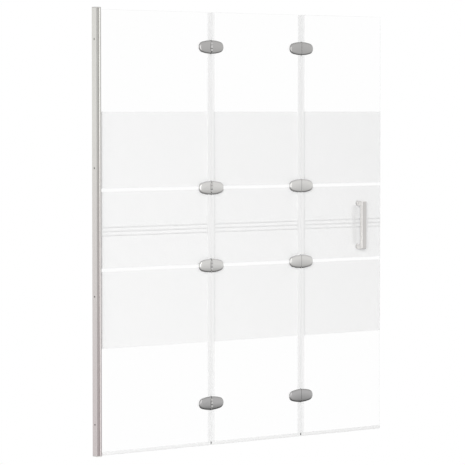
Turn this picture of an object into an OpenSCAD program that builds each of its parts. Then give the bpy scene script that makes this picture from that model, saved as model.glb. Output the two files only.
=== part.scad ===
// Folding bath screen: wall profile, three glass panels on two fold lines, oval hinges, pull handle
// The wall is the plane x = 0, the handle side faces -Y, and z = 0 is the foot of the wall profile

/* [Screen] */
// Distance from the wall to the first fold line
fold_1_x = 462; // [440:1:500]
// Width of the middle panel, fold line to fold line
panel_2_w = 381; // [340:1:390]
// Width of the outer panel, fold line to free edge
panel_3_w = 355; // [320:1:375]
// Height of the wall profile over its two end caps
screen_h = 1400; // [1350:5:1500]

/* [Glass] */
// Thickness of the toughened glass
glass_t = 5; // [4:0.5:6]
// Height of the lower glass edge above the foot of the profile
glass_foot_z = 4; // [3.5:0.5:10]
// Drop from the top of the profile to the upper glass edge
glass_head_drop = 7; // [5:0.5:12]
// Distance from glass to glass across a fold line
fold_gap = 6; // [5:0.5:8]

/* [Frosted band] */
// Height of the lower edge of the frosted band
band_foot_z = 335; // [260:5:420]
// Height of the upper edge of the frosted band
band_head_z = 1075; // [960:5:1120]
// Height of the middle between the two clear lines
clear_mid_z = 706; // [680:1:730]
// Distance between the centres of the two clear lines
clear_pitch = 250; // [200:5:280]
// Height of each clear line
clear_line_w = 10; // [6:0.5:16]
// Height of the middle one of the three fine lines
fine_mid_z = 703; // [680:1:720]
// Distance between the centres of neighbouring fine lines
fine_pitch = 13; // [8:0.5:20]
// Height of each fine line
fine_line_w = 4; // [2:0.5:6]
// Thickness of the printed layers
print_t = 0.2; // [0.1:0.05:0.4]
// Bare margin between a printed layer and what is clamped on the glass
print_margin = 0.5; // [0.3:0.1:2]

/* [Wall profile] */
// Outer depth of the profile, across the screen
frame_d = 24; // [23:0.5:30]
// Distance from the wall to the room side of the glass profile
frame_reach = 19.5; // [18:0.5:22]
// Distance from the wall to the two rims of the glass profile, which stand in front of the channel
frame_start = 11.5; // [11:0.1:12]
// Depth of each rim of the glass profile
rim_d = 3.5; // [3:0.1:3.8]
// Wall thickness of the rims
rim_wall = 1.4; // [1:0.1:1.6]
// Radius of the outer corners of the rims
rim_corner_r = 3; // [0.5:0.1:3]
// Thickness of the nose that joins the rims to the glass seat
rim_nose = 1.5; // [1.2:0.1:2]
// Wall thickness of the glass seat
seat_wall = 1.3; // [1:0.1:1.8]
// Distance from the wall to the back of the glass seat
seat_start = 4.5; // [4:0.1:5.5]
// Reach of the channel's flanges off the wall
channel_reach = 15; // [13:0.5:15.5]
// Wall thickness of the channel
channel_wall = 1.8; // [1.4:0.1:2.2]
// Gap between the channel's flanges and the rims that slide over them
slide_gap = 0.2; // [0.1:0.05:0.3]
// Thickness of the end caps
cap_t = 3; // [2:0.5:5]
// Depth of the plug that holds an end cap in the channel
cap_plug_h = 12; // [8:1:25]
// Thickness of the glazing gasket on each side of the glass
gasket_t = 1.6; // [1.2:0.1:2]
// How far the gasket's lips stand out of the profile
gasket_lip = 0.8; // [0.5:0.1:1.5]

/* [Wall fixing] */
// Diameter of the holes for the wall screws
wall_hole_d = 5.5; // [4.5:0.5:6.5]
// Distance from each end of the profile to its outermost wall screw
wall_hole_end = 100; // [60:5:200]
// Number of wall screws
wall_hole_count = 4; // [3:1:6]
// Height of the lowest clamping screw between channel and glass profile
clamp_foot_z = 120; // [60:5:160]
// Drop from the top of the profile to the highest clamping screw
clamp_head_drop = 120; // [60:5:160]
// Distance from the wall to the clamping screws
clamp_x = 6.6; // [6:0.1:7.5]
// Shank diameter of the clamping screws
clamp_d = 3.5; // [3:0.5:4]

/* [Seals] */
// Wall thickness of the clip-on seals
seal_wall = 1; // [0.8:0.1:1.2]
// Width of the plain edge seals' front legs on the glass
edge_seal_leg = 9; // [7:0.5:14]
// Width of the front legs of the edge seals that carry the bead
bead_seal_leg = 12; // [8:0.5:16]
// Width of all edge seals' legs behind the glass
back_seal_leg = 6; // [5:0.5:7]
// Distance between a hinge plate and the cut end of an edge seal
edge_seal_break = 1; // [0.5:0.5:12]
// Height of the bottom seal's legs on the glass
foot_seal_leg = 8; // [6:0.5:14]
// Length of the bottom seal's middle fin
foot_fin_h = 2.4; // [1:0.1:2.5]
// Thickness of the bottom seal's fin and drip lip
foot_fin_t = 0.9; // [0.7:0.1:1.5]
// How far the drip lip stands out behind the seal's leg
drip_reach = 2.5; // [1.5:0.5:4]
// How much the drip lip hangs below the seal's floor
drip_drop = 2.2; // [1:0.1:2.4]
// Free distance between parts of neighbouring panels
running_gap = 0.3; // [0.3:0.05:0.5]

/* [Hinges] */
// Length of the oval of two hinge halves in front of the glass
hinge_l = 100.5; // [90:0.5:116]
// Height of the oval in front of the glass
hinge_h = 43.5; // [40:0.5:52]
// Radius of the oval's two ends
hinge_end_r = 17.25; // [10:0.25:18]
// Thickness of leaves and covers
plate_t = 4.5; // [4:0.1:6]
// How much smaller the plates behind the glass are, all round
plate_back_inset = 6; // [0:0.5:6.5]
// Width over which leaves and covers swell up from their rim to their flat middle
plate_swell_w = 10; // [1:0.5:12]
// Height of that swell
plate_swell_h = 2.4; // [1:0.1:2.8]
// Thickness of the clamping pads
pad_t = 0.8; // [0.5:0.1:1.5]
// How far the pads stay behind the rim of the plates
pad_inset = 1; // [0.5:0.1:2]
// Distance from the fold line to the edge of a leaf
leaf_setback = 2; // [1.8:0.1:3]
// Distance from the fold line to the edge of a cover
cover_setback = 0.5; // [0.4:0.1:1]
// Free space between two leaves that lie folded together
leaf_space = 1.2; // [0.8:0.1:3]
// Outer diameter of the knuckles
knuckle_d = 7; // [6.5:0.5:8]
// Length of the middle knuckle
knuckle_mid_l = 9.5; // [8:0.5:14]
// Length of each outer knuckle
knuckle_end_l = 7; // [5:0.5:10]
// Space between neighbouring knuckles, which a washer fills
knuckle_gap = 2; // [1:0.1:3]
// How far the knuckles sit above the middle of the oval
knuckle_rise = 1.3; // [-2:0.1:2]
// Diameter of the hinge pins
pin_d = 4; // [3:0.5:4]
// Radial play of a pin in its knuckles
pin_play = 0.05; // [0.03:0.01:0.08]
// How far a pin stands out of the outer knuckles
pin_proud = 0.6; // [0.3:0.1:1]
// Height of the lowest row of hinges
hinge_foot_z = 137; // [100:1:200]
// Drop from the top of the profile to the highest row of hinges
hinge_head_drop = 118; // [90:1:180]

/* [Hinge screws] */
// Distance from the fold line to the hinge screws
hinge_screw_x = 26; // [20:0.5:32]
// Shank diameter of the hinge screws
hinge_screw_d = 5; // [4:0.5:6]
// Diameter of the hole in the glass for a hinge screw
glass_hole_d = 14; // [12:0.5:16]
// Play of a sleeve in its glass hole, and of a screw in its sleeve
sleeve_play = 0.2; // [0.1:0.05:0.4]
// Metal left in front of a blind thread
blind_skin = 1; // [0.8:0.1:1.5]

/* [Handle] */
// Distance from the free edge of the glass to the middle of the handle
handle_edge = 99.5; // [60:0.5:160]
// Height of the middle of the handle
handle_z = 695.5; // [680:0.5:710]
// Distance between the handle's two screws
handle_pitch = 145; // [120:1:176]
// Width of the grip
grip_w = 20; // [16:0.5:26]
// Thickness of the grip bar
grip_t = 10; // [7:0.5:12]
// Height of each post
post_h = 15; // [12:0.5:18]
// Free space between the grip bar and the glass
finger_gap = 20; // [18:0.5:34]
// Radius of the grip's two long front edges
grip_edge_r = 2; // [1:0.1:3]
// Radius of the grip's outer corners
grip_corner_r = 4; // [2:0.5:5]
// Radius of the inner corners between bar and posts
grip_inner_r = 5; // [2:0.5:8]
// Thickness of the clear washers under posts and rosettes
handle_pad_t = 0.8; // [0.5:0.1:1.5]
// Diameter of the rosettes behind the glass
rosette_d = 18; // [16:0.5:24]
// Thickness of the rosettes
rosette_t = 4; // [3.5:0.5:6]
// Shank diameter of the handle screws
handle_screw_d = 5; // [4:0.5:5]
// Depth of a handle screw in its post
handle_thread = 12; // [8:1:16]
// Diameter of the glass holes for the handle screws
handle_hole_d = 8; // [8:0.5:10]

/* [Hidden] */

$fn = 64;

// A cut or a joining web runs this far past the face that it meets
past = 1;
// Two shapes of one solid overlap by this much where their faces would only touch
weld = 0.01;

// Glass
glass_y = glass_t / 2;
glass_head_z = screen_h - glass_head_drop;
fold_x = [fold_1_x, fold_1_x + panel_2_w];
free_x = fold_1_x + panel_2_w + panel_3_w;
half_gap = fold_gap / 2;

// Wall profile, as half depths from the middle plane of the glass
frame_out = frame_d / 2;
frame_in = frame_out - rim_d;
channel_out = frame_in - slide_gap;
channel_in = channel_out - channel_wall;
seat_in = glass_y + gasket_t;
seat_out = seat_in + seat_wall;
gasket_x = seat_start + seat_wall;
glass_start_x = gasket_x + gasket_t;
foot_seal_start_x = frame_reach + gasket_lip + running_gap;
gasket_lip_h = 0.6;
wall_hole_pitch = (screen_h - 2 * wall_hole_end) / (wall_hole_count - 1);
plug_play = 0.2;
clamp_rows = [clamp_foot_z, screen_h / 2, screen_h - clamp_head_drop];
pocket_min_r = 0.3;
pocket_r = max(rim_corner_r - rim_wall, pocket_min_r);

// Panels as [start, end] of their glass along X
panel_x = [
    [glass_start_x, fold_x[0] - half_gap],
    [fold_x[0] + half_gap, fold_x[1] - half_gap],
    [fold_x[1] + half_gap, free_x]
];

// Hinges: the two middle rows sit on the clear lines, the knuckles of fold 2 are behind the glass
clear_rows = [clear_mid_z - clear_pitch / 2, clear_mid_z + clear_pitch / 2];
hinge_rows = [hinge_foot_z, clear_rows[0], clear_rows[1], screen_h - hinge_head_drop];
plate_y = glass_y + pad_t;
face_y = plate_y + plate_t;
pivot_y = face_y + leaf_space / 2;
knuckle_r = knuckle_d / 2;
knuckle_play = 0.4;
web_inset = 0.5;
pin_tip = 0.4;
knuckle_mid = knuckle_mid_l / 2;
knuckle_top = knuckle_mid + knuckle_gap + knuckle_end_l;
web_t = knuckle_r - web_inset;
swell_steps = 6;
end_flat_r = 1;
oval_side_r = (pow(hinge_l / 2 - hinge_end_r, 2) + pow(hinge_h / 2, 2) - pow(hinge_end_r, 2))
    / (hinge_h - 2 * hinge_end_r);

// Washers
washer_inset = 0.5;
washer_play = 0.1;

// Screws: a head is as high as it is wider than its shank
thread_play = 0.05;
tip_space = 0.3;
head_h = 2;
head_bevel = 0.6;
hex_depth = 1.8;
hex_share = 0.64;
glass_hole_r = glass_hole_d / 2;
hinge_shank_r = hinge_screw_d / 2;
hinge_tip_y = face_y - blind_skin - tip_space;

// Edge seals run between the hinges
seal_out = glass_y + seal_wall;
bead_inset = 0.6;
bead_r = glass_y - bead_inset;
foot_seal_top_z = glass_foot_z + foot_seal_leg;
hinge_clear = hinge_h / 2 + edge_seal_break;
seal_cuts = [for (z = hinge_rows) each [z - hinge_clear, z + hinge_clear]];
seal_ends = concat([foot_seal_top_z + running_gap], seal_cuts, [glass_head_z]);

// Handle
handle_x = free_x - handle_edge;
handle_rows = [handle_z - handle_pitch / 2, handle_z + handle_pitch / 2];
grip_base_y = glass_y + handle_pad_t;
grip_back_y = glass_y + finger_gap;
grip_front_y = grip_back_y + grip_t;
rosette_rim = 1;
rosette_y = glass_y + handle_pad_t + rosette_t;
handle_shank_r = handle_screw_d / 2;
handle_hole_r = handle_hole_d / 2;

// Mirrors its children across the plane x = 0 where asked
module flip_x(on) {
    if (on) mirror([1, 0, 0]) children();
    else children();
}

// Mirrors its children across the plane y = 0 where asked
module flip_y(on) {
    if (on) mirror([0, 1, 0]) children();
    else children();
}

// Box between two corners
module block(low, high) {
    translate(low) cube(high - low);
}

// Cylinder along Y from y0 to y1
module rod_y(r, y0, y1) {
    translate([0, y1, 0]) rotate([90, 0, 0]) cylinder(r = r, h = y1 - y0);
}

// Cone along Y, radius r0 at y0 and r1 at y1
module cone_y(r0, r1, y0, y1) {
    translate([0, y0, 0]) rotate([-90, 0, 0]) cylinder(r1 = r0, r2 = r1, h = y1 - y0);
}

// Room for a countersunk head that is flush with y = -face
module countersink(shank_r, face) {
    cone_y(shank_r + head_h + thread_play, shank_r + thread_play, -face, -face + head_h);
}

// Places a hinge half: local +X runs into its panel and local -Y is the knuckle side
module at_half(fold, inner, row) {
    translate([fold_x[fold], 0, hinge_rows[row]]) flip_x(inner) flip_y(fold == 1) children();
}

// Every hinge half on the glass of one panel
module each_half(panel) {
    if (panel > 0) for (row = [0:3]) at_half(panel - 1, false, row) children();
    if (panel < 2) for (row = [0:3]) at_half(panel, true, row) children();
}

// The same, turned so that local -Y is the front of the glass, or its back
module each_face(panel, behind) {
    if (panel > 0) for (row = [0:3]) at_half(panel - 1, false, row) flip_y((panel == 2) != behind) children();
    if (panel < 2) for (row = [0:3]) at_half(panel, true, row) flip_y((panel == 1) != behind) children();
}

// Disc of radius r and thickness t with a bevelled upper rim
module bevelled_disc(r, t, bevel) {
    rotate_extrude() polygon([[0, 0], [r, 0], [r, t - bevel], [r - bevel, t], [0, t]]);
}

// Length rounded to a thousandth, so that discs of different radii meet in the same points
function thousandth(length) = round(1000 * length) / 1000;

// Disc of radius r and thickness t that swells up from its rim over swell_w
module plate_disc(r, t, swell_w) {
    rim = swell_w > 0
        ? [for (i = [0:swell_steps]) let(a = 90 * i / swell_steps)
            [r - thousandth(swell_w * (1 - cos(a))), t - thousandth(plate_swell_h * (1 - sin(a)))]]
        : [[r, t]];
    rotate_extrude($fn = 128) polygon(concat([[0, 0], [r, 0]], rim, [[0, t]]));
}

// Outer half of the hinge oval, x > 0, grown by a margin: two side arcs and an end arc that meet smoothly
module half_oval(grow, t, swollen) {
    end_x = hinge_l / 2 - hinge_end_r;
    end_r = hinge_end_r + grow;
    side_r = oval_side_r + grow;
    side_y = oval_side_r - hinge_h / 2;
    reach = 2 * end_r;
    edge = [end_x, side_y] / 4;
    top = 2 * (side_r - side_y);
    swell_w = swollen ? min(plate_swell_w, end_r - end_flat_r) : 0;
    for (below = [false, true]) flip_y(below) intersection() {
        translate([0, -side_y, 0]) plate_disc(side_r, t, swell_w);
        linear_extrude(t) polygon([
            [0, 0], [end_x, 0], [end_x + edge[0], edge[1]], [end_x + edge[0], top], [0, top]
        ]);
    }
    intersection() {
        translate([end_x, 0, 0]) plate_disc(end_r, t, swell_w);
        linear_extrude(t) polygon([
            [end_x, 0], [end_x + edge[0], edge[1]], [end_x + 2 * reach, edge[1]],
            [end_x + 2 * reach, -edge[1]], [end_x + edge[0], -edge[1]]
        ]);
    }
}

// Half oval that lies at y = -y0, faces -Y and starts at a setback from the fold line
module half_plate(y0, t, grow, swollen, setback) {
    intersection() {
        translate([0, -y0, 0]) rotate([90, 0, 0]) half_oval(grow, t, swollen);
        block([setback, -y0 - t - past, -hinge_h], [hinge_l, -y0 + past, hinge_h]);
    }
}

// Hole of a hinge screw in a plate on the -Y side: a countersunk hole, or a blind thread
module hinge_screw_hole(head) {
    translate([hinge_screw_x, 0, 0]) {
        if (head) {
            rod_y(hinge_shank_r + sleeve_play, -face_y - past, -plate_y + past);
            countersink(hinge_shank_r, face_y);
        } else {
            rod_y(hinge_shank_r + thread_play, -face_y + blind_skin, -plate_y + past);
        }
    }
}

// Knuckles with the web that joins them to their leaf
module knuckles(fork) {
    end_z = knuckle_mid + knuckle_gap;
    spans = fork
        ? [[-knuckle_top, -end_z], [end_z, knuckle_top]]
        : [[-knuckle_mid, knuckle_mid]];
    for (span = spans) {
        translate([0, -pivot_y, span[0]]) cylinder(r = knuckle_r, h = span[1] - span[0]);
        block([0, -pivot_y, span[0]], [leaf_setback + past, -pivot_y + web_t, span[1]]);
    }
}

// Room in a leaf for the washers and the other leaf's knuckles
module knuckle_room(fork) {
    end_z = knuckle_top + running_gap;
    spans = fork
        ? [[-knuckle_mid - knuckle_gap, knuckle_mid + knuckle_gap]]
        : [[-end_z, -knuckle_mid], [knuckle_mid, end_z]];
    for (span = spans) {
        translate([0, -pivot_y, span[0]])
            cylinder(r = knuckle_r + knuckle_play, h = span[1] - span[0]);
    }
}

// Hinge leaf: the oval half with its knuckles; behind tells that it lies behind the glass
module hinge_leaf(fork, behind) {
    color("silver") difference() {
        union() {
            half_plate(plate_y, plate_t, behind ? -plate_back_inset : 0, true, leaf_setback);
            translate([0, 0, knuckle_rise]) knuckles(fork);
        }
        translate([0, 0, knuckle_rise]) knuckle_room(fork);
        translate([0, -pivot_y, -hinge_h]) cylinder(d = pin_d + 2 * pin_play, h = 2 * hinge_h);
        hinge_screw_hole(behind);
    }
}

// Cover plates of one side of a fold, on the face of the glass that has no knuckles
module hinge_covers(fold, inner, behind) {
    grow = behind ? -plate_back_inset : 0;
    color("silver") for (row = [0:3]) at_half(fold, inner, row) flip_y(true) difference() {
        half_plate(plate_y, plate_t, grow, true, cover_setback);
        hinge_screw_hole(behind);
    }
}

// Pins of one fold line
module hinge_pins(fold) {
    pin_h = 2 * (knuckle_top + pin_proud);
    pin_z = knuckle_rise - pin_h / 2;
    color("lightgray") for (row = [0:3]) at_half(fold, false, row) translate([0, -pivot_y, pin_z])
        rotate_extrude() polygon([
            [0, 0], [pin_d / 2 - pin_tip, 0], [pin_d / 2, pin_tip], [pin_d / 2, pin_h - pin_tip],
            [pin_d / 2 - pin_tip, pin_h], [0, pin_h]
        ]);
}

// Washers between the knuckles of one fold line
module hinge_washers(fold) {
    washer_h = knuckle_gap - 2 * washer_play;
    color("dimgray") for (row = [0:3]) at_half(fold, false, row)
        for (z = [-knuckle_mid - knuckle_gap, knuckle_mid])
            translate([0, -pivot_y, knuckle_rise + z + washer_play]) difference() {
                cylinder(r = knuckle_r - washer_inset, h = washer_h);
                translate([0, 0, -past]) cylinder(d = pin_d + 2 * pin_play, h = washer_h + 2 * past);
            }
}

// Rubber pads on both faces of the glass, under leaf and cover
module hinge_pads(panel) {
    color("gainsboro") for (behind = [false, true]) each_face(panel, behind) difference() {
        half_plate(glass_y, pad_t, -pad_inset - (behind ? plate_back_inset : 0), false, half_gap + pad_inset);
        translate([hinge_screw_x, 0, 0])
            rod_y(hinge_shank_r + sleeve_play, -plate_y - past, -glass_y + past);
    }
}

// Sleeves that keep the hinge screws off the glass
module hinge_sleeves(panel) {
    color("white") each_half(panel) translate([hinge_screw_x, 0, 0]) difference() {
        rod_y(glass_hole_r - sleeve_play / 2, -glass_y, glass_y);
        rod_y(hinge_shank_r + sleeve_play, -glass_y - past, glass_y + past);
    }
}

// Countersunk screw along Y: its head is flush with y = -face and its tip points to +Y
module countersunk_screw(shank_r, face, tip) {
    difference() {
        union() {
            cone_y(shank_r + head_h, shank_r, -face, -face + head_h);
            rod_y(shank_r, -face + head_h - weld, tip);
        }
        translate([0, -face - past, 0]) rotate([-90, 0, 0])
            cylinder(r = shank_r * hex_share, h = past + hex_depth, $fn = 6);
    }
}

// Pan-head screw along Y: its head lies on y = -face and its tip points to +Y
module pan_screw(shank_r, face, tip) {
    difference() {
        union() {
            rod_y(shank_r, -face - weld, tip);
            translate([0, -face, 0]) rotate([90, 0, 0]) bevelled_disc(shank_r + head_h, head_h, head_bevel);
        }
        translate([0, -face - head_h - past, 0]) rotate([-90, 0, 0])
            cylinder(r = shank_r * hex_share, h = past + hex_depth, $fn = 6);
    }
}

// Hinge screws: every head is on the back of the screen
module hinge_screws(panel) {
    color("lightgray") {
        if (panel > 0) for (row = [0:3]) at_half(panel - 1, false, row) flip_y(panel == 1)
            translate([hinge_screw_x, 0, 0]) countersunk_screw(hinge_shank_r, face_y, hinge_tip_y);
        if (panel < 2) for (row = [0:3]) at_half(panel, true, row) flip_y(panel == 0)
            translate([hinge_screw_x, 0, 0]) countersunk_screw(hinge_shank_r, face_y, hinge_tip_y);
    }
}

// Glass pane with the holes for its hinges
module glass_pane(panel) {
    color("lightcyan", 0.5) difference() {
        block([panel_x[panel][0], -glass_y, glass_foot_z], [panel_x[panel][1], glass_y, glass_head_z]);
        each_half(panel) translate([hinge_screw_x, 0, 0])
            rod_y(glass_hole_r, -glass_y - past, glass_y + past);
        if (panel == 2) for (z = handle_rows) translate([handle_x, 0, z])
            rod_y(handle_hole_r, -glass_y - past, glass_y + past);
    }
}

// Start and end along X of what is printed on a panel, between seal legs of the given widths
function print_span(panel, leg_start, leg_end) = [
    (panel == 0 ? frame_reach + gasket_lip : panel_x[panel][0] + leg_start) + print_margin,
    panel == 2 ? free_x : panel_x[panel][1] - leg_end - print_margin
];

// Frosted band on the back of a panel, in three fields that the clear lines part
module frosted_print(panel) {
    span = print_span(panel, back_seal_leg, back_seal_leg);
    half = clear_line_w / 2;
    fields = [
        [band_foot_z, clear_rows[0] - half],
        [clear_rows[0] + half, clear_rows[1] - half],
        [clear_rows[1] + half, band_head_z]
    ];
    color("white") for (field = fields) difference() {
        block([span[0], glass_y, field[0]], [span[1], glass_y + print_t, field[1]]);
        each_face(panel, true)
            half_plate(glass_y - past, print_t + 2 * past, print_margin - plate_back_inset, false, -past);
        if (panel == 2) for (z = handle_rows) translate([handle_x, 0, z])
            rod_y(rosette_d / 2 + print_margin, glass_y - past, glass_y + print_t + past);
    }
}

// Three fine printed lines on the front of a panel
module fine_lines(panel) {
    span = print_span(panel, bead_seal_leg, edge_seal_leg);
    half = fine_line_w / 2;
    color("lightgray") for (i = [-1:1]) {
        z = fine_mid_z + i * fine_pitch;
        block([span[0], -glass_y - print_t, z - half], [span[1], -glass_y, z + half]);
    }
}

// Bottom seal: a clip on the lower glass edge with a middle fin and a drip lip towards the bath side
module bottom_seal(panel) {
    x0 = panel == 0 ? foot_seal_start_x : panel_x[panel][0];
    floor_z = glass_foot_z - seal_wall;
    fin = foot_fin_t / 2;
    fin_z = floor_z - foot_fin_h;
    lip_y = seal_out + drip_reach;
    lip_z = floor_z - drip_drop;
    outline = [
        [-seal_out, foot_seal_top_z], [-seal_out, floor_z],
        [-fin, floor_z], [-fin, fin_z],
        [fin, fin_z], [fin, floor_z],
        [seal_out - foot_fin_t, floor_z], [lip_y - foot_fin_t, lip_z],
        [lip_y, lip_z], [seal_out, floor_z + foot_fin_t],
        [seal_out, foot_seal_top_z], [glass_y, foot_seal_top_z],
        [glass_y, glass_foot_z], [-glass_y, glass_foot_z],
        [-glass_y, foot_seal_top_z]
    ];
    color("gainsboro") translate([x0, 0, 0]) rotate([90, 0, 90])
        linear_extrude(panel_x[panel][1] - x0) polygon(outline);
}

// Section of an edge seal: a clip on the glass edge, and on the outer panel a bead that closes the gap
module edge_seal_section(bead) {
    back_x = half_gap - seal_wall;
    bead_x = bead_r + running_gap - back_x;
    front_leg = bead ? bead_seal_leg : edge_seal_leg;
    translate([back_x, -seal_out]) square([seal_wall, 2 * seal_out]);
    translate([back_x, -seal_out]) square([seal_wall + front_leg, seal_wall]);
    translate([back_x, glass_y]) square([seal_wall + back_seal_leg, seal_wall]);
    if (bead) {
        translate([bead_x, 0]) circle(r = bead_r);
        translate([bead_x, -bead_r]) square([back_x + weld - bead_x, 2 * bead_r]);
    }
}

// Edge seal along one vertical glass edge, cut at the hinges
module edge_seal(fold, inner) {
    color("gainsboro") for (i = [0:2:len(seal_ends) - 1])
        translate([fold_x[fold], 0, seal_ends[i]]) flip_x(inner)
            linear_extrude(seal_ends[i + 1] - seal_ends[i]) edge_seal_section(!inner);
}

// Channel that is screwed to the wall: a back plate with two flanges
module wall_channel() {
    color("silver") difference() {
        translate([0, 0, cap_t]) linear_extrude(screen_h - 2 * cap_t) {
            translate([0, -frame_out]) square([channel_wall, 2 * frame_out]);
            difference() {
                translate([0, -channel_out]) square([channel_reach, 2 * channel_out]);
                translate([channel_wall, -channel_in]) square([channel_reach, 2 * channel_in]);
            }
        }
        for (i = [0:wall_hole_count - 1])
            translate([-past, 0, wall_hole_end + i * wall_hole_pitch])
                rotate([0, 90, 0]) cylinder(d = wall_hole_d, h = channel_wall + 2 * past);
        for (z = clamp_rows) translate([clamp_x, 0, z])
            rod_y(clamp_d / 2 + sleeve_play, channel_in - past, channel_out + past);
    }
}

// Rectangle between two corners, with its four corners rounded
module rounded_square(low, high, r) {
    translate([low[0] + r, low[1]]) square([high[0] - low[0] - 2 * r, high[1] - low[1]]);
    translate([low[0], low[1] + r]) square([high[0] - low[0], high[1] - low[1] - 2 * r]);
    for (x = [low[0] + r, high[0] - r], y = [low[1] + r, high[1] - r]) translate([x, y]) circle(r = r);
}

// Profile that holds the glass: its rims slide over the channel's flanges and its seat inside them
module glass_profile() {
    nose_x = frame_reach - rim_nose;
    pocket_x = frame_start + rim_wall;
    pocket_y = frame_out - rim_wall;
    color("silver") difference() {
        translate([0, 0, cap_t]) linear_extrude(screen_h - 2 * cap_t) {
            difference() {
                rounded_square([frame_start, -frame_out], [frame_reach, frame_out], rim_corner_r);
                translate([frame_start - past, -frame_in])
                    square([nose_x - frame_start + past, 2 * frame_in]);
                rounded_square([pocket_x, -pocket_y], [nose_x, pocket_y], pocket_r);
                translate([frame_start - past, -seat_in]) square([frame_reach, 2 * seat_in]);
            }
            difference() {
                translate([seat_start, -seat_out]) square([frame_reach - seat_start, 2 * seat_out]);
                translate([seat_start + seat_wall, -seat_in]) square([frame_reach, 2 * seat_in]);
            }
        }
        for (z = clamp_rows) translate([clamp_x, 0, z])
            rod_y(clamp_d / 2 + thread_play, seat_in - past, seat_out + past);
    }
}

// Screws that hold the glass profile's seat to the channel's rear flange
module clamping_screws() {
    color("lightgray") for (z = clamp_rows) translate([clamp_x, 0, z]) flip_y(true)
        pan_screw(clamp_d / 2, channel_out, -seat_in - tip_space);
}

// Gasket around the glass edge in the profile's seat, with a lip on each side of the mouth
module glazing_gasket() {
    lip_y = seat_in + gasket_lip_h;
    glass_h = glass_head_z - glass_foot_z;
    color("gainsboro") translate([0, 0, glass_foot_z]) linear_extrude(glass_h) difference() {
        union() {
            translate([gasket_x, -seat_in]) square([frame_reach + gasket_lip - gasket_x, 2 * seat_in]);
            translate([frame_reach, -lip_y]) square([gasket_lip, 2 * lip_y]);
        }
        translate([glass_start_x, -glass_y]) square([frame_reach, glass_t]);
    }
}

// Lower end cap with the plug that sits in the channel
module end_cap() {
    linear_extrude(cap_t) difference() {
        rounded_square([-2 * rim_corner_r, -frame_out], [frame_reach, frame_out], rim_corner_r);
        translate([-2 * rim_corner_r - past, -frame_out - past])
            square([2 * rim_corner_r + past, 2 * frame_out + 2 * past]);
    }
    block(
        [channel_wall + plug_play, -channel_in + plug_play, cap_t - weld],
        [seat_start - plug_play, channel_in - plug_play, cap_t + cap_plug_h]
    );
}

module bottom_cap() {
    color("lightgray") end_cap();
}

module top_cap() {
    color("lightgray") translate([0, 0, screen_h]) mirror([0, 0, 1]) end_cap();
}

// Bow handle: a flat bar on two posts
module handle_grip() {
    half_h = handle_pitch / 2 + post_h / 2;
    inner_h = handle_pitch / 2 - post_h / 2;
    color("silver") translate([handle_x, 0, handle_z]) difference() {
        intersection() {
            // Side view: outer corners round at the front, square at the glass
            translate([-grip_w / 2, 0, 0]) rotate([90, 0, 90]) linear_extrude(grip_w) difference() {
                rounded_square([-grip_front_y, -half_h], [grip_corner_r, half_h], grip_corner_r);
                translate([-grip_base_y, -half_h - past]) square([grip_front_y, 2 * (half_h + past)]);
                rounded_square([-grip_back_y, -inner_h], [2 * grip_inner_r, inner_h], grip_inner_r);
            }
            // Plan view: the two long front edges are rounded
            translate([0, 0, -half_h]) linear_extrude(2 * half_h)
                rounded_square([-grip_w / 2, -grip_front_y], [grip_w / 2, grip_edge_r], grip_edge_r);
        }
        for (z = handle_rows) translate([0, 0, z - handle_z])
            rod_y(
                handle_shank_r + thread_play,
                -grip_base_y - handle_thread - tip_space, -grip_base_y + past
            );
    }
}

// Clear washers under the two posts and under the rosettes
module handle_washers() {
    washer_r = min(grip_w, post_h) / 2 - washer_inset;
    color("gainsboro") for (z = handle_rows) translate([handle_x, 0, z]) {
        difference() {
            rod_y(washer_r, -grip_base_y, -glass_y);
            rod_y(handle_shank_r + sleeve_play, -grip_base_y - past, -glass_y + past);
        }
        difference() {
            rod_y(rosette_d / 2 - washer_inset, glass_y, glass_y + handle_pad_t);
            rod_y(handle_shank_r + sleeve_play, glass_y - past, glass_y + handle_pad_t + past);
        }
    }
}

// Sleeves in the glass holes of the handle
module handle_sleeves() {
    color("white") for (z = handle_rows) translate([handle_x, 0, z]) difference() {
        rod_y(handle_hole_r - sleeve_play / 2, -glass_y, glass_y);
        rod_y(handle_shank_r + sleeve_play, -glass_y - past, glass_y + past);
    }
}

// Round metal rosettes behind the glass that take the screw heads
module handle_rosettes() {
    rosette_r = rosette_d / 2;
    rim_y = rosette_y - rosette_rim;
    color("silver") for (z = handle_rows) translate([handle_x, 0, z]) difference() {
        union() {
            rod_y(rosette_r, rosette_y - rosette_t, rim_y);
            cone_y(rosette_r, rosette_r - rosette_rim, rim_y, rosette_y);
        }
        rod_y(handle_shank_r + sleeve_play, rosette_y - rosette_t - past, rosette_y + past);
        flip_y(true) countersink(handle_shank_r, rosette_y);
    }
}

// Screws from the back through the glass into the posts
module handle_screws() {
    color("lightgray") for (z = handle_rows) translate([handle_x, 0, z]) flip_y(true)
        countersunk_screw(handle_shank_r, rosette_y, grip_base_y + handle_thread);
}

wall_channel();
glass_profile();
glazing_gasket();
top_cap();
bottom_cap();
clamping_screws();
glass_pane(0);  // glass_panel_1
frosted_print(0);  // frosted_print_1
fine_lines(0);  // fine_lines_1
bottom_seal(0);  // bottom_seal_1
edge_seal(0, true);  // edge_seal_1
glass_pane(1);  // glass_panel_2
frosted_print(1);  // frosted_print_2
fine_lines(1);  // fine_lines_2
bottom_seal(1);  // bottom_seal_2
edge_seal(0, false);  // edge_seal_2_inner
edge_seal(1, true);  // edge_seal_2_outer
glass_pane(2);  // glass_panel_3
frosted_print(2);  // frosted_print_3
fine_lines(2);  // fine_lines_3
bottom_seal(2);  // bottom_seal_3
edge_seal(1, false);  // edge_seal_3
at_half(0, true, 0) hinge_leaf(true, false);  // fold_1_inner_leaf_1
at_half(0, true, 1) hinge_leaf(true, false);  // fold_1_inner_leaf_2
at_half(0, true, 2) hinge_leaf(true, false);  // fold_1_inner_leaf_3
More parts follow.
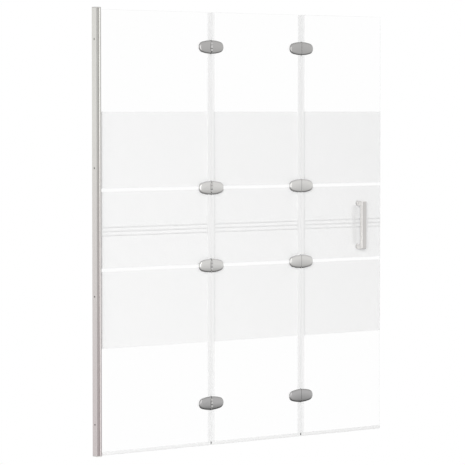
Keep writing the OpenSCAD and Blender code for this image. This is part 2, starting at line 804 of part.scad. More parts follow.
at_half(0, true, 3) hinge_leaf(true, false);  // fold_1_inner_leaf_4
at_half(0, false, 0) hinge_leaf(false, false);  // fold_1_outer_leaf_1
at_half(0, false, 1) hinge_leaf(false, false);  // fold_1_outer_leaf_2
at_half(0, false, 2) hinge_leaf(false, false);  // fold_1_outer_leaf_3
at_half(0, false, 3) hinge_leaf(false, false);  // fold_1_outer_leaf_4
at_half(1, true, 0) hinge_leaf(true, true);  // fold_2_inner_leaf_1
at_half(1, true, 1) hinge_leaf(true, true);  // fold_2_inner_leaf_2
at_half(1, true, 2) hinge_leaf(true, true);  // fold_2_inner_leaf_3
at_half(1, true, 3) hinge_leaf(true, true);  // fold_2_inner_leaf_4
at_half(1, false, 0) hinge_leaf(false, true);  // fold_2_outer_leaf_1
at_half(1, false, 1) hinge_leaf(false, true);  // fold_2_outer_leaf_2
at_half(1, false, 2) hinge_leaf(false, true);  // fold_2_outer_leaf_3
at_half(1, false, 3) hinge_leaf(false, true);  // fold_2_outer_leaf_4
hinge_covers(0, true, true);  // fold_1_inner_covers
hinge_covers(0, false, true);  // fold_1_outer_covers
hinge_covers(1, true, false);  // fold_2_inner_covers
hinge_covers(1, false, false);  // fold_2_outer_covers
hinge_pins(0);  // fold_1_pins
hinge_pins(1);  // fold_2_pins
hinge_washers(0);  // fold_1_washers
hinge_washers(1);  // fold_2_washers
hinge_pads(0);  // hinge_pads_1
hinge_pads(1);  // hinge_pads_2
hinge_pads(2);  // hinge_pads_3
hinge_sleeves(0);  // hinge_sleeves_1
hinge_sleeves(1);  // hinge_sleeves_2
hinge_sleeves(2);  // hinge_sleeves_3
hinge_screws(0);  // hinge_screws_1
hinge_screws(1);  // hinge_screws_2
hinge_screws(2);  // hinge_screws_3
handle_grip();
handle_washers();
handle_sleeves();
handle_rosettes();
handle_screws();
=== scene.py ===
"""Folding bath screen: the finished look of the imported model, in metres, in the model's own frame."""

import math

import bmesh
import bpy
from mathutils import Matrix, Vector


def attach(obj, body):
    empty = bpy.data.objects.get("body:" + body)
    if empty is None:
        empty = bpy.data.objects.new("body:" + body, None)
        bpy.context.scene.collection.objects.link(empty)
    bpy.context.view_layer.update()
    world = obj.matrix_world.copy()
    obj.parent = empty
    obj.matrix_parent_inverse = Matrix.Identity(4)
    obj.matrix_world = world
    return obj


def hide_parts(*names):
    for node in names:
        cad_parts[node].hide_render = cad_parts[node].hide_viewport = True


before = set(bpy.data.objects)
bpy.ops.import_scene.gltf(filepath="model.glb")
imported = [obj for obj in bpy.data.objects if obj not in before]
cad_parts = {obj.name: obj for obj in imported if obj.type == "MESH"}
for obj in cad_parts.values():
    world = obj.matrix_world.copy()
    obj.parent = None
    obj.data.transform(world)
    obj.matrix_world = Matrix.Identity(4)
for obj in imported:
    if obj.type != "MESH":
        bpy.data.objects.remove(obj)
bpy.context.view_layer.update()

MM = 0.001

PANELS = ("wall_panel", "middle_panel", "outer_panel")

# Places and sizes that the finished pieces share with the model, in metres
HINGE_ROWS = (0.137, 0.581, 0.831, 1.282)
MIDDLE_ROWS = HINGE_ROWS[1:3]
FOLD_X = (0.462, 0.843)
HINGE_FACE_Y = 0.0078
HINGE_HALF_HEIGHT = 0.02175
HINGE_SCREW_X = 0.026
HINGE_SCREW_LENGTH = 0.0143
HANDLE_X = 1.0985
HANDLE_ROWS = (0.623, 0.768)
HANDLE_SCREW_LENGTH = 0.0226
ROSETTE_FACE_Y = 0.0073
RIM_BACK_Y = 0.0085
SCREW_SIZES = {
    "Head radius": 0.0045,
    "Head height": 0.002,
    "Shank radius": 0.0025,
    "Socket radius": 0.0017,
    "Socket depth": 0.0018,
}
SCREW_SIDES = 32

# How far a hinge plate's cut edge lies from the fold line at most, and its knuckles out of its face at least
FOLD_EDGE_REACH = 0.005
KNUCKLE_PROUD = 0.0001
# How far the upper washer of a hinge lies above its middle at most
WASHER_REACH = 0.012
# The share of the painted shade that the lower ends of the highest and of the lowest hinges take
HEAD_PAINTED_SHADE, FOOT_PAINTED_SHADE = 0.27, 0.82
# The film of air between a pane and what lies on it
AIR_FILM = 0.00002

# A face looks along an axis where its normal's part along it is larger than this
FACING = 0.9
GRIP_FRONT_FACING = 0.95
RIM_CORNER_FACING = 0.1

# Joining loose triangles, easing edges and shading
MERGE_DISTANCE = 1e-6
FLAT_ANGLE = math.radians(0.5)
EASE_ANGLE = math.radians(28)
SHARP_ANGLE = math.radians(32)

# Grain of the metals: width across Z and length along Z, in millimetres
DIE_LINES = (0.6, 60)
CAST_GRAIN = (0.35, 0.5)
BRUSH_LINES = (0.4, 25)
TURNED_GRAIN = (0.3, 0.3)
METAL_RELIEF = 0.00005
SKIN_RELIEF = 0.00008
# Clouds of a slightly other tone, to the metre, and the spread of the roughness
CLOUDS = 14.0
ROUGHNESS_SPREAD = 0.15
# Heights at which the painted warm light towards the foot starts and is full
WARM_LIGHT_START_Z, WARM_LIGHT_FULL_Z = 1.1, 0.1


# Small helpers

def linear(hex_colour):
    """An sRGB hex colour as linear red, green, blue and alpha."""
    parts = [int(hex_colour[i:i + 2], 16) / 255 for i in (1, 3, 5)]
    return [c / 12.92 if c <= 0.04045 else ((c + 0.055) / 1.055) ** 2.4 for c in parts] + [1.0]


def add(tree, kind, settings=None, links=None):
    """Adds a node. Lower-case settings are its properties and the others its inputs."""
    node = tree.nodes.new(kind)
    for key, value in (settings or {}).items():
        if isinstance(key, str) and key[0].islower():
            setattr(node, key, value)
        else:
            node.inputs[key].default_value = value
    for key, source in (links or {}).items():
        tree.links.new(source if hasattr(source, "is_output") else source.outputs[0], node.inputs[key])
    return node


def new_material(name):
    """An empty node material and its output node."""
    material = bpy.data.materials.new(name)
    material.use_nodes = True
    material.node_tree.nodes.clear()
    return material, material.node_tree, add(material.node_tree, "ShaderNodeOutputMaterial")


def stretched(tree, scale):
    """Object coordinates scaled along X, Y and Z."""
    coords = add(tree, "ShaderNodeTexCoord")
    return add(tree, "ShaderNodeMapping", {"Scale": scale}, {"Vector": coords.outputs["Object"]})


# Materials

def metal(name, colour, shade, roughness, grain_mm, bump, metallic=1.0, foot=None, rims=(), cast=None):
    """Metal with a grain along Z, of one grain's width and length in millimetres.

    foot is a painted warm light towards the foot of the screen. Each rim is a painted shade for faces that
    look up or down, with the normal's Z at which it starts and the one at which it is full. cast is a painted
    cast shade into which a hinge plate sinks towards its lower end, by the "drop" of its points: most so near
    the foot of the screen.
    """
    material, tree, output = new_material(name)
    wide, long = (1 / (size * MM) for size in grain_mm)
    grain = add(tree, "ShaderNodeTexNoise", {"Scale": 1.0, "Detail": 3.0, "Roughness": 0.55},
                {"Vector": stretched(tree, (wide, wide, long))})
    cloud = add(tree, "ShaderNodeTexNoise", {"Scale": CLOUDS, "Detail": 2.0},
                {"Vector": stretched(tree, (1, 1, 1))})
    tone = add(tree, "ShaderNodeMix",
               {"data_type": "RGBA", "clamp_factor": True, 6: linear(colour), 7: linear(shade)},
               {0: cloud.outputs["Fac"]})
    coords = add(tree, "ShaderNodeTexCoord")
    layers = []
    # Painted warm light: the tone warms towards the foot of the screen
    if foot:
        place = add(tree, "ShaderNodeSeparateXYZ", {}, {"Vector": coords.outputs["Object"]})
        depth = add(tree, "ShaderNodeMapRange", {"From Min": WARM_LIGHT_START_Z, "From Max": WARM_LIGHT_FULL_Z},
                    {"Value": place.outputs["Z"]})
        layers.append((depth, foot))
    # Painted shade on faces that look down, and on those that look up
    for rim, start, full in rims:
        facing = add(tree, "ShaderNodeSeparateXYZ", {}, {"Vector": coords.outputs["Normal"]})
        share = add(tree, "ShaderNodeMapRange", {"From Min": start, "From Max": full},
                    {"Value": facing.outputs["Z"]})
        layers.append((share, rim))
    # Painted shade: hinge plates darken towards their lower ends
    if cast:
        drop = add(tree, "ShaderNodeAttribute", {"attribute_name": "drop"})
        layers.append((drop.outputs["Fac"], cast))
    for share, layer in layers:
        tone = add(tree, "ShaderNodeMix", {"data_type": "RGBA", "clamp_factor": True, 7: linear(layer)},
                   {0: share, 6: tone.outputs[2]})
    polish = add(tree, "ShaderNodeMapRange",
                 {"To Min": roughness * (1 - ROUGHNESS_SPREAD), "To Max": roughness * (1 + ROUGHNESS_SPREAD)},
                 {"Value": grain.outputs["Fac"]})
    relief = add(tree, "ShaderNodeBump", {"Strength": bump, "Distance": METAL_RELIEF},
                 {"Height": grain.outputs["Fac"]})
    shader = add(tree, "ShaderNodeBsdfPrincipled", {"Metallic": metallic},
                 {"Base Color": tone.outputs[2], "Roughness": polish, "Normal": relief})
    tree.links.new(shader.outputs[0], output.inputs["Surface"])
    return material


def anodised_aluminium():
    """Drawn aluminium with a clear satin anodised coat: soft grey-silver with faint die lines, and a painted
    warm light towards the foot.
    """
    return metal("anodised_aluminium", "#DDDCD8", "#D7D6D1", roughness=0.38, grain_mm=DIE_LINES, bump=0.2,
                 metallic=0.75, foot="#CCC4C4")


def recess_shade_finish():
    """The channel's faces that look along Y, the flanges in the recess among them: the same metal with
    painted shade, darker, and a painted warm light towards the foot.
    """
    return metal("aluminium_painted_recess_shade", "#B8B7B3", "#B0AFAC", roughness=0.5, grain_mm=DIE_LINES, bump=0.2,
                 metallic=0.6, foot="#ACA3A3")


def anodised_rim():
    """The glass profile's rims, of the same alloy with painted shade: a shade darker than the channel, and a
    painted warm light towards the foot.
    """
    return metal("rim_aluminium_painted_shade", "#B9B8B4", "#B3B2AF", roughness=0.38, grain_mm=DIE_LINES, bump=0.2,
                 metallic=0.75, foot="#AFA7A7")


def rim_corner_highlight():
    """The rims' rounded corners towards the wall, with a painted highlight: brighter than the rims, and a
    painted warm light towards the foot.
    """
    return metal("rim_aluminium_painted_highlight", "#DFDEDA", "#DAD9D5", roughness=0.2, grain_mm=DIE_LINES, bump=0.1,
                 metallic=0.9, foot="#D6CECE")


def satin_zinc():
    """Zinc from die casting with a satin nickel plate: a soft sheen, painted shade on the rims, most so
    below, and on the plates' lower ends, and a painted warm light towards the foot.
    """
    return metal("satin_nickel_zinc", "#B2B1B0", "#ADACAB", roughness=0.16, grain_mm=CAST_GRAIN, bump=0.06,
                 foot="#ADACAC", rims=(("#686766", -0.1, -0.3), ("#949392", 0.12, 0.4)), cast="#505050")


def middle_row_lit_zinc():
    """The same plates at the two middle rows, with painted light: a brighter nickel, with the same painted
    shade on rims and lower ends.
    """
    return metal("nickel_zinc_painted_light", "#D5D4D2", "#D0CFCD", roughness=0.16, grain_mm=CAST_GRAIN, bump=0.06,
                 rims=(("#8C8B8A", -0.1, -0.3), ("#BDBCBB", 0.12, 0.4)), cast="#505050")


def bright_cut():
    """Knuckles, turned bright after casting."""
    return metal("bright_cut_zinc", "#C0BFBE", "#BAB9B8", roughness=0.4, grain_mm=CAST_GRAIN, bump=0.06)


def lit_fold_edge_finish():
    """The plates' edges at the fold line, plated, with painted light: lighter than the plates, as where light
    falls between them.
    """
    return metal("nickel_edge_painted_light", "#CCCBCA", "#C6C5C4", roughness=0.3, grain_mm=CAST_GRAIN, bump=0.06)


def brighter_lit_fold_edge_finish():
    """The same edges at the two middle rows, with more painted light."""
    return metal("nickel_edge_more_painted_light", "#E6E5E4", "#E1E0DF", roughness=0.3, grain_mm=CAST_GRAIN,
                 bump=0.06)


def satin_handle():
    """Satin chromed handle, with painted light: bright sides and edges as a painted reflection, and painted
    shade where they look down.
    """
    return metal("chromed_brass_painted_light", "#E8E6E4", "#E3E1DF", roughness=0.2, grain_mm=BRUSH_LINES,
                 bump=0.1, metallic=0.9, rims=(("#A5A3A1", -0.3, -0.9),))


def brushed_shaded_front():
    """The handle's front, brushed along its length, with painted shade: a shade darker than its sides."""
    return metal("brushed_chromed_brass_painted_shade", "#C9C7C5", "#C3C1BF", roughness=0.3, grain_mm=BRUSH_LINES,
                 bump=0.15, metallic=0.9)


def stainless():
    """Turned stainless steel of the screws and pins: bright and smooth."""
    return metal("turned_stainless_steel", "#C4C3C1", "#B8B7B6", roughness=0.22, grain_mm=TURNED_GRAIN,
                 bump=0.1)


def moulded(name, colour, shade, roughness, grain_mm, bump, see_through=0.0, glow_through=0.0):
    """Moulded plastic or rubber, or fired enamel, with a fine grained skin.

    see_through is the share of light that passes straight, and glow_through the share of a lamp's light that
    gets through.
    """
    material, tree, output = new_material(name)
    size = 1 / (grain_mm * MM)
    grain = add(tree, "ShaderNodeTexNoise", {"Scale": 1.0, "Detail": 2.0},
                {"Vector": stretched(tree, (size, size, size))})
    tone = add(tree, "ShaderNodeMix",
               {"data_type": "RGBA", "clamp_factor": True, 6: linear(colour), 7: linear(shade)},
               {0: grain.outputs["Fac"]})
    relief = add(tree, "ShaderNodeBump", {"Strength": bump, "Distance": SKIN_RELIEF},
                 {"Height": grain.outputs["Fac"]})
    shader = add(tree, "ShaderNodeBsdfPrincipled",
                 {"Roughness": roughness, "IOR": 1.5, "Alpha": 1 - see_through},
                 {"Base Color": tone.outputs[2], "Normal": relief})
    if glow_through:
        path = add(tree, "ShaderNodeLightPath")
        share = add(tree, "ShaderNodeMath", {"operation": "MULTIPLY", 1: glow_through},
                    {0: path.outputs["Is Shadow Ray"]})
        clear = add(tree, "ShaderNodeBsdfTransparent")
        shader = add(tree, "ShaderNodeMixShader", {}, {0: share, 1: shader, 2: clear})
    tree.links.new(shader.outputs[0], output.inputs["Surface"])
    return material


def moulded_cap():
    """End caps of moulded ABS with a fine eroded skin: matte light grey."""
    return moulded("moulded_abs_cap", "#CFCDCB", "#C6C4C2", roughness=0.45, grain_mm=0.5, bump=0.3)


def gasket_rubber():
    """The extruded gasket around the first pane: dull soft grey."""
    return moulded("gasket_rubber", "#C2C3C3", "#B6B7B7", roughness=0.7, grain_mm=0.6, bump=0.2)


def translucent_vinyl():
    """Extruded seals of soft vinyl: milky and smooth, so that they glow where light falls on them."""
    return moulded("translucent_vinyl", "#F0F0F0", "#EDEDED", roughness=0.3, grain_mm=4.0, bump=0.05,
                   see_through=0.2, glow_through=0.5)


def clear_rubber():
    """Moulded pads between metal and glass: a milky rubber that shows a little of what is behind it."""
    return moulded("clear_rubber_pad", "#D9DADA", "#CFD0D0", roughness=0.5, grain_mm=1.0, bump=0.1,
                   see_through=0.3)


def natural_nylon():
    """Turned sleeves of uncoloured nylon: a warm white with a dull shine."""
    return moulded("natural_nylon", "#E9E8E3", "#E0DFDA", roughness=0.5, grain_mm=1.0, bump=0.1)


def washer_gap_shade():
    """The washers of the hinges, with painted shade: near black, as the shade in the gaps between the bright
    knuckles.
    """
    return moulded("washer_gap_shade", "#1C1C1D", "#131314", roughness=0.55, grain_mm=0.8, bump=0.1)


def upper_washer_lighter_shade():
    """The upper washers, which the plates' light reaches: the same nylon with lighter painted shade, greyer.
    """
    return moulded("upper_washer_lighter_shade", "#8E8E8D", "#868685", roughness=0.55, grain_mm=0.8, bump=0.1)


def frosted_enamel():
    """Ceramic print fired on the glass: an even milky white that lets most light through."""
    return moulded("frosted_enamel", "#F0F0F0", "#EEEEEE", roughness=0.6, grain_mm=0.5, bump=0.1,
                   see_through=0.08, glow_through=0.6)


def printed_enamel():
    """The fine lines, a denser print: they show as faint grey threads on the frosted band."""
    return moulded("printed_enamel", "#F0F0F0", "#EDEDED", roughness=0.5, grain_mm=0.5, bump=0.1,
                   see_through=0.1)


def glass(name, colour, roughness=0.0):
    """Float glass that lets lamps through, so that what is behind it is lit."""
    material, tree, output = new_material(name)
    body = add(tree, "ShaderNodeBsdfPrincipled",
               {"Base Color": linear(colour), "Roughness": roughness, "IOR": 1.52,
                "Transmission Weight": 1.0})
    open_way = add(tree, "ShaderNodeBsdfTransparent")
    path = add(tree, "ShaderNodeLightPath")
    lit = add(tree, "ShaderNodeMath", {"operation": "MAXIMUM"},
              {0: path.outputs["Is Shadow Ray"], 1: path.outputs["Is Diffuse Ray"]})
    mix = add(tree, "ShaderNodeMixShader", {}, {0: lit, 1: body, 2: open_way})
    tree.links.new(mix.outputs[0], output.inputs["Surface"])
    return material


ALUMINIUM = anodised_aluminium()
RECESS_SHADE = recess_shade_finish()
RIM = anodised_rim()
RIM_CORNER_HIGHLIGHT = rim_corner_highlight()
ZINC = satin_zinc()
MIDDLE_ROW_LIT_ZINC = middle_row_lit_zinc()
BRIGHT_CUT = bright_cut()
LIT_FOLD_EDGE = lit_fold_edge_finish()
BRIGHTER_LIT_FOLD_EDGE = brighter_lit_fold_edge_finish()
HANDLE = satin_handle()
BRUSHED_SHADED_FRONT = brushed_shaded_front()
STEEL = stainless()
CAP = moulded_cap()
GASKET = gasket_rubber()
VINYL = translucent_vinyl()
CLEAR_RUBBER = clear_rubber()
NATURAL_NYLON = natural_nylon()
WASHER_GAP_SHADE = washer_gap_shade()
UPPER_WASHER_LIGHTER_SHADE = upper_washer_lighter_shade()
FROST = frosted_enamel()
FINE_LINE = printed_enamel()
# The faces of the panes are polished clear, and their ground edges are duller and a little green
CLEAR_GLASS = glass("toughened_float_glass", "#FEFEFE")
GLASS_EDGE = glass("polished_glass_edge", "#EEF1F0", roughness=0.15)


# Pieces

def finished(mesh, name, body, slot, *nodes):
    """Makes an object of a mesh and gives it its body; its finish comes with the mesh, and it hides the nodes
    that it stands for. slot is not used.
    """
    piece = bpy.data.objects.new(name, mesh)
    bpy.context.scene.collection.objects.link(piece)
    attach(piece, body)
    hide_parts(*nodes)
    return piece


def merged_copy(node):
    """The node's mesh with its loose triangles joined and its flat faces whole again."""
    shell = bmesh.new()
    shell.from_mesh(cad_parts[node].data)
    bmesh.ops.remove_doubles(shell, verts=shell.verts, dist=MERGE_DISTANCE)
    bmesh.ops.dissolve_limit(shell, angle_limit=FLAT_ANGLE, verts=shell.verts, edges=shell.edges)
    mesh = bpy.data.meshes.new(node + "_copy")
    shell.to_mesh(mesh)
    shell.free()
    return mesh


def eased(node, body, slot, material, ease_mm, segments=2):
    """The node with its sharp edges eased, as the real piece has them."""
    mesh = merged_copy(node)
    mesh.materials.clear()
    mesh.materials.append(material)
    rough = bpy.data.objects.new("rough", mesh)
    bpy.context.scene.collection.objects.link(rough)
    ease = rough.modifiers.new("ease", "BEVEL")
    ease.width = ease_mm * MM
    ease.segments = segments
    ease.limit_method = "ANGLE"
    ease.angle_limit = EASE_ANGLE
    ease.use_clamp_overlap = False
    rough.data.shade_smooth()
    rough.modifiers.new("even", "WEIGHTED_NORMAL").keep_sharp = True
    shape = bpy.data.meshes.new_from_object(rough.evaluated_get(bpy.context.evaluated_depsgraph_get()))
    bpy.data.objects.remove(rough)
    return finished(shape, node + "_eased", body, slot, node)


def second_finish(piece, material, chosen):
    """Gives the faces that chosen picks, by centre and normal, another material."""
    piece.data.materials.append(material)
    last = len(piece.data.materials) - 1
    for face in piece.data.polygons:
        if chosen(face.center, face.normal):
            face.material_index = last


def glass_pane(node, body):
    """A pane with ground and polished edges: the narrow faces get their own look.

    It is thinner all round by a film of air, so that no face of it falls together with a print or a seal
    that lies on it.
    """
    pane = eased(node, body, "clear_glass", CLEAR_GLASS, ease_mm=0.5, segments=1)
    for point in pane.data.vertices:
        point.co -= AIR_FILM * point.normal
    second_finish(pane, GLASS_EDGE, lambda centre, normal: abs(normal.y) < FACING)


def screw_tree():
    """Countersunk screws with a hex socket, one on each point, with the head's face on the point."""
    tree = bpy.data.node_groups.new("countersunk_screws", "GeometryNodeTree")
    tree.interface.new_socket("Points", in_out="INPUT", socket_type="NodeSocketGeometry")
    for name, value in {**SCREW_SIZES, "Length": HINGE_SCREW_LENGTH}.items():
        socket = tree.interface.new_socket(name, in_out="INPUT", socket_type="NodeSocketFloat")
        socket.default_value = value
    tree.interface.new_socket("Finish", in_out="INPUT", socket_type="NodeSocketMaterial")
    tree.interface.new_socket("Screws", in_out="OUTPUT", socket_type="NodeSocketGeometry")
    asked = add(tree, "NodeGroupInput").outputs
    # The screw stands on its head: the face is at z = 0 and the tip points up
    head = add(tree, "GeometryNodeMeshCone", {"Vertices": SCREW_SIDES},
               {"Radius Bottom": asked["Head radius"], "Radius Top": asked["Shank radius"],
                "Depth": asked["Head height"]})
    shank = add(tree, "GeometryNodeMeshCylinder", {"Vertices": SCREW_SIDES},
                {"Radius": asked["Shank radius"], "Depth": asked["Length"]})
    half = add(tree, "ShaderNodeMath", {"operation": "MULTIPLY", 1: 0.5}, {0: asked["Length"]})
    lift = add(tree, "ShaderNodeCombineXYZ", {}, {"Z": half})
    shank_up = add(tree, "GeometryNodeTransform", {}, {"Geometry": shank, "Translation": lift})
    solid = add(tree, "GeometryNodeMeshBoolean", {"operation": "UNION"})
    tree.links.new(head.outputs["Mesh"], solid.inputs["Mesh 2"])
    tree.links.new(shank_up.outputs["Geometry"], solid.inputs["Mesh 2"])
    # Half of the hexagon is below the head's face, so its depth is twice the socket's
    double = add(tree, "ShaderNodeMath", {"operation": "MULTIPLY", 1: 2.0}, {0: asked["Socket depth"]})
    hexagon = add(tree, "GeometryNodeMeshCylinder", {"Vertices": 6},
                  {"Radius": asked["Socket radius"], "Depth": double})
    cut = add(tree, "GeometryNodeMeshBoolean", {"operation": "DIFFERENCE"}, {"Mesh 1": solid.outputs["Mesh"]})
    tree.links.new(hexagon.outputs["Mesh"], cut.inputs["Mesh 2"])
    row = add(tree, "GeometryNodeInstanceOnPoints", {"Rotation": (math.radians(90), 0, 0)},
              {"Points": asked["Points"], "Instance": cut.outputs["Mesh"]})
    real = add(tree, "GeometryNodeRealizeInstances", {}, {"Geometry": row})
    dressed = add(tree, "GeometryNodeSetMaterial", {}, {"Geometry": real, "Material": asked["Finish"]})
    add(tree, "NodeGroupOutput", {}, {"Screws": dressed})
    return tree


SCREW_TREE = screw_tree()


def screws(name, body, points, length, *nodes):
    """A row of countersunk screws whose heads lie in the given points and whose tips point to -Y."""
    places = bpy.data.meshes.new(name)
    places.from_pydata([Vector(p) for p in points], [], [])
    holder = bpy.data.objects.new("holder", places)
    bpy.context.scene.collection.objects.link(holder)
    maker = holder.modifiers.new("screws", "NODES")
    maker.node_group = SCREW_TREE
    sockets = {s.name: s.identifier for s in SCREW_TREE.interface.items_tree if s.in_out == "INPUT"}
    for key, value in {**SCREW_SIZES, "Length": length, "Finish": STEEL}.items():
        maker[sockets[key]] = value
    mesh = bpy.data.meshes.new_from_object(holder.evaluated_get(bpy.context.evaluated_depsgraph_get()))
    bpy.data.objects.remove(holder)
    mesh.shade_smooth()
    mesh.set_sharp_from_angle(angle=SHARP_ANGLE)
    return finished(mesh, name, body, "stainless_steel", *nodes)


def paint(material, *nodes):
    """Gives CAD nodes that keep their shape their finish."""
    for node in nodes:
        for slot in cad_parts[node].material_slots:
            slot.material = material


def on_rim_corner(centre, normal):
    """Tells whether a face is on the rounded corner of a rim that looks to the wall."""
    return normal.x < -RIM_CORNER_FACING and abs(centre.y) > RIM_BACK_Y


def build_profile():
    """The wall profile: two drawn sections, end caps, gasket and clamping screws."""
    channel = eased("wall_channel", "wall_panel", "anodised_aluminium", ALUMINIUM, ease_mm=0.25)
    # Painted shade on the channel's faces that look along Y, as in the recess
    second_finish(channel, RECESS_SHADE, lambda centre, normal: abs(normal.y) > FACING)
    rims = eased("glass_profile", "wall_panel", "anodised_aluminium", RIM, ease_mm=0.25)
    # Painted highlight on the rims' rounded corners towards the wall
    second_finish(rims, RIM_CORNER_HIGHLIGHT, on_rim_corner)
    for node in ("top_cap", "bottom_cap"):
        eased(node, "wall_panel", "cap_plastic", CAP, ease_mm=0.4)
    eased("clamping_screws", "wall_panel", "stainless_steel", STEEL, ease_mm=0.15)
    paint(GASKET, "glazing_gasket")


def build_glass():
    """The three panes with their prints and seals."""
    for number, body in enumerate(PANELS, 1):
        glass_pane(f"glass_panel_{number}", body)
        paint(FROST, f"frosted_print_{number}")
        paint(FINE_LINE, f"fine_lines_{number}")
        paint(VINYL, f"bottom_seal_{number}")
    paint(VINYL, "edge_seal_1", "edge_seal_2_inner", "edge_seal_2_outer", "edge_seal_3")


def nearest_row(z):
    """The hinge row next to a height."""
    return min(HINGE_ROWS, key=lambda row: abs(row - z))


def mark_painted_shade_drop(plate):
    """Stores how strongly each point of a hinge plate sinks into the painted shade below its middle."""
    marks = plate.data.attributes.new("drop", "FLOAT", "POINT")
    for point, mark in zip(plate.data.vertices, marks.data):
        z = point.co.z
        depth = max(nearest_row(z) - z, 0) / HINGE_HALF_HEIGHT
        lowness = (HINGE_ROWS[-1] - z) / (HINGE_ROWS[-1] - HINGE_ROWS[0])
        mark.value = depth * (HEAD_PAINTED_SHADE + (FOOT_PAINTED_SHADE - HEAD_PAINTED_SHADE) * lowness)


def on_knuckle(centre):
    """Tells whether a face of a hinge plate is on its knuckles, which stand out of its face."""
    return abs(centre.y) > HINGE_FACE_Y + KNUCKLE_PROUD


def on_fold_edge(centre, normal, fold_x):
    """Tells whether a face of a hinge plate is on its cut edge at the fold line."""
    return abs(normal.x) > FACING and abs(centre.x - fold_x) < FOLD_EDGE_REACH and not on_knuckle(centre)


def in_middle_row(centre):
    """Tells whether a face belongs to one of the two middle rows of hinges."""
    return nearest_row(centre.z) in MIDDLE_ROWS


def on_upper_washer(centre):
    """Tells whether a face belongs to the upper one of a hinge's two washers."""
    return any(0 < centre.z - row < WASHER_REACH for row in HINGE_ROWS)


def finish_plate(plate, fold_x):
    """Gives a hinge plate its finishes: painted shade towards its lower end, painted light on the faces of
    the middle rows and on the edges at the fold line, turned knuckles.
    """
    mark_painted_shade_drop(plate)
    # Painted light: the plates of the two middle rows are brighter
    second_finish(plate, MIDDLE_ROW_LIT_ZINC, lambda centre, normal: in_middle_row(centre))
    # Painted light on the plates' edges at the fold line
    second_finish(plate, LIT_FOLD_EDGE, lambda centre, normal: on_fold_edge(centre, normal, fold_x))
    # More painted light on these edges at the two middle rows
    second_finish(plate, BRIGHTER_LIT_FOLD_EDGE,
                  lambda centre, normal: on_fold_edge(centre, normal, fold_x) and in_middle_row(centre))
    second_finish(plate, BRIGHT_CUT, lambda centre, normal: on_knuckle(centre))


def screw_columns(number):
    """Where the hinge screws of a panel lie along X: beside each fold line that the panel has."""
    columns = []
    if number > 1:
        columns.append(FOLD_X[number - 2] + HINGE_SCREW_X)
    if number < len(PANELS):
        columns.append(FOLD_X[number - 1] - HINGE_SCREW_X)
    return columns


def build_hinges():
    """Leaves, covers, pins, washers, pads, sleeves and screws of the eight hinges."""
    for fold in (1, 2):
        for side, body in (("inner", PANELS[fold - 1]), ("outer", PANELS[fold])):
            leaves = [f"fold_{fold}_{side}_leaf_{row}" for row in (1, 2, 3, 4)]
            for node in leaves + [f"fold_{fold}_{side}_covers"]:
                finish_plate(eased(node, body, "hinge_metal", ZINC, ease_mm=0.2), FOLD_X[fold - 1])
        paint(STEEL, f"fold_{fold}_pins")
        # Painted shade: the washers are near black as the shade between the knuckles, the upper ones greyer
        washers = eased(f"fold_{fold}_washers", PANELS[fold], "washer_nylon", WASHER_GAP_SHADE, ease_mm=0.1)
        second_finish(washers, UPPER_WASHER_LIGHTER_SHADE, lambda centre, normal: on_upper_washer(centre))
    for number, body in enumerate(PANELS, 1):
        paint(CLEAR_RUBBER, f"hinge_pads_{number}")
        paint(NATURAL_NYLON, f"hinge_sleeves_{number}")
        points = [(x, HINGE_FACE_Y, z) for x in screw_columns(number) for z in HINGE_ROWS]
        screws(f"hinge_screw_heads_{number}", body, points, HINGE_SCREW_LENGTH, f"hinge_screws_{number}")


def build_handle():
    """The bow handle with its washers, sleeves, rosettes and screws."""
    grip = eased("handle_grip", "outer_panel", "handle_metal", HANDLE, ease_mm=0.5, segments=3)
    # Painted shade: the grip's front is darker than its sides
    second_finish(grip, BRUSHED_SHADED_FRONT, lambda centre, normal: normal.y < -GRIP_FRONT_FACING)
    eased("handle_rosettes", "outer_panel", "handle_metal", HANDLE, ease_mm=0.25)
    paint(CLEAR_RUBBER, "handle_washers")
    paint(NATURAL_NYLON, "handle_sleeves")
    points = [(HANDLE_X, ROSETTE_FACE_Y, z) for z in HANDLE_ROWS]
    screws("handle_screw_heads", "outer_panel", points, HANDLE_SCREW_LENGTH, "handle_screws")


# Studio

CAMERA_PLACE = (-5.0845, -6.8924, 1.0828)
CAMERA_YAW, CAMERA_PITCH = 39.287, 2.561
SENSOR = 36
LENS = 213.3
FAR = 100
FLOOR_Z = -0.55
FLOOR_R = 2.6
# Where the floor starts to fade and where it is gone, as shares of its radius
FLOOR_FADE = (0.6, 0.97)
AIM = Vector((0.6, 0.0, 0.7))
WHITE = (1, 1, 1, 1)
# Strength of the world as a light, and as what is seen
WORLD_LIGHT, WORLD_SEEN = 0.4, 1.0

# Each lamp's name, place, width and height, power in watts, and whether metal mirrors it
LAMPS = (
    ("key", (-10.4, -13.9, 3.8), (6.0, 6.0), 2190, False),
    ("side", (-9.0, -6.0, 1.7), (6.8, 6.0), 136, True),
    ("front", (2.5, -5.7, 1.1), (1.2, 2.5), 12, True),
    ("back", (0.5, 5.5, 2.6), (3.0, 3.0), 180, False),
)


def build_camera():
    """The camera of the photograph."""
    data = bpy.data.cameras.new("camera")
    data.sensor_width = SENSOR
    data.lens = LENS
    data.clip_end = FAR
    camera = bpy.data.objects.new("camera", data)
    camera.location = CAMERA_PLACE
    camera.rotation_euler = (math.radians(90 - CAMERA_PITCH), 0, math.radians(-CAMERA_YAW))
    bpy.context.scene.collection.objects.link(camera)
    bpy.context.scene.camera = camera


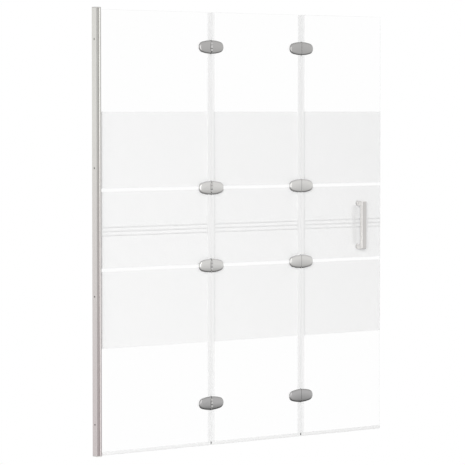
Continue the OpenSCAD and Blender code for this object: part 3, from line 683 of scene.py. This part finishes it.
def build_world():
    """Soft even light, with a white background for what sees the world directly."""
    world = bpy.data.worlds.new("studio")
    bpy.context.scene.world = world
    world.use_nodes = True
    tree = world.node_tree
    tree.nodes.clear()
    path = add(tree, "ShaderNodeLightPath")
    seen = path.outputs["Is Camera Ray"]
    for ray in ("Is Glossy Ray", "Is Transmission Ray"):
        seen = add(tree, "ShaderNodeMath", {"operation": "MAXIMUM"}, {0: seen, 1: path.outputs[ray]})
    light = add(tree, "ShaderNodeBackground", {"Color": WHITE, "Strength": WORLD_LIGHT})
    backdrop = add(tree, "ShaderNodeBackground", {"Color": WHITE, "Strength": WORLD_SEEN})
    mix = add(tree, "ShaderNodeMixShader", {}, {0: seen, 1: light, 2: backdrop})
    add(tree, "ShaderNodeOutputWorld", {}, {"Surface": mix})


def build_lamp(name, place, size, power, mirrored):
    """A soft white lamp that faces the middle of the screen."""
    data = bpy.data.lights.new(name, "AREA")
    data.shape = "RECTANGLE"
    data.size, data.size_y = size
    data.energy = power
    light = bpy.data.objects.new(name, data)
    light.location = place
    light.rotation_euler = (AIM - Vector(place)).to_track_quat("-Z", "Y").to_euler()
    light.visible_camera = False
    light.visible_transmission = False
    light.visible_glossy = mirrored
    bpy.context.scene.collection.objects.link(light)


def build_floor():
    """A round pale floor that fades out towards its rim."""
    mesh = bpy.data.meshes.new("floor")
    shell = bmesh.new()
    bmesh.ops.create_circle(shell, cap_ends=True, segments=96, radius=FLOOR_R)
    bmesh.ops.translate(shell, verts=shell.verts, vec=(AIM.x, 0, FLOOR_Z))
    shell.to_mesh(mesh)
    shell.free()
    material, tree, output = new_material("pale_floor")
    coords = add(tree, "ShaderNodeTexCoord")
    centred = add(tree, "ShaderNodeMapping", {"Location": (-AIM.x, 0, -FLOOR_Z)},
                  {"Vector": coords.outputs["Object"]})
    reach = add(tree, "ShaderNodeVectorMath", {"operation": "LENGTH"}, {0: centred})
    fade = add(tree, "ShaderNodeMapRange",
               {"From Min": FLOOR_R * FLOOR_FADE[0], "From Max": FLOOR_R * FLOOR_FADE[1]},
               {"Value": reach.outputs["Value"]})
    pale = add(tree, "ShaderNodeBsdfDiffuse", {"Color": linear("#F4F4F3")})
    clear = add(tree, "ShaderNodeBsdfTransparent")
    mix = add(tree, "ShaderNodeMixShader", {}, {0: fade, 1: pale, 2: clear})
    tree.links.new(mix.outputs[0], output.inputs["Surface"])
    mesh.materials.append(material)
    floor = bpy.data.objects.new("floor", mesh)
    bpy.context.scene.collection.objects.link(floor)


build_camera()
build_world()
for lamp in LAMPS:
    build_lamp(*lamp)
build_floor()
build_profile()
build_glass()
build_hinges()
build_handle()

bpy.context.scene.view_settings.view_transform = "Standard"
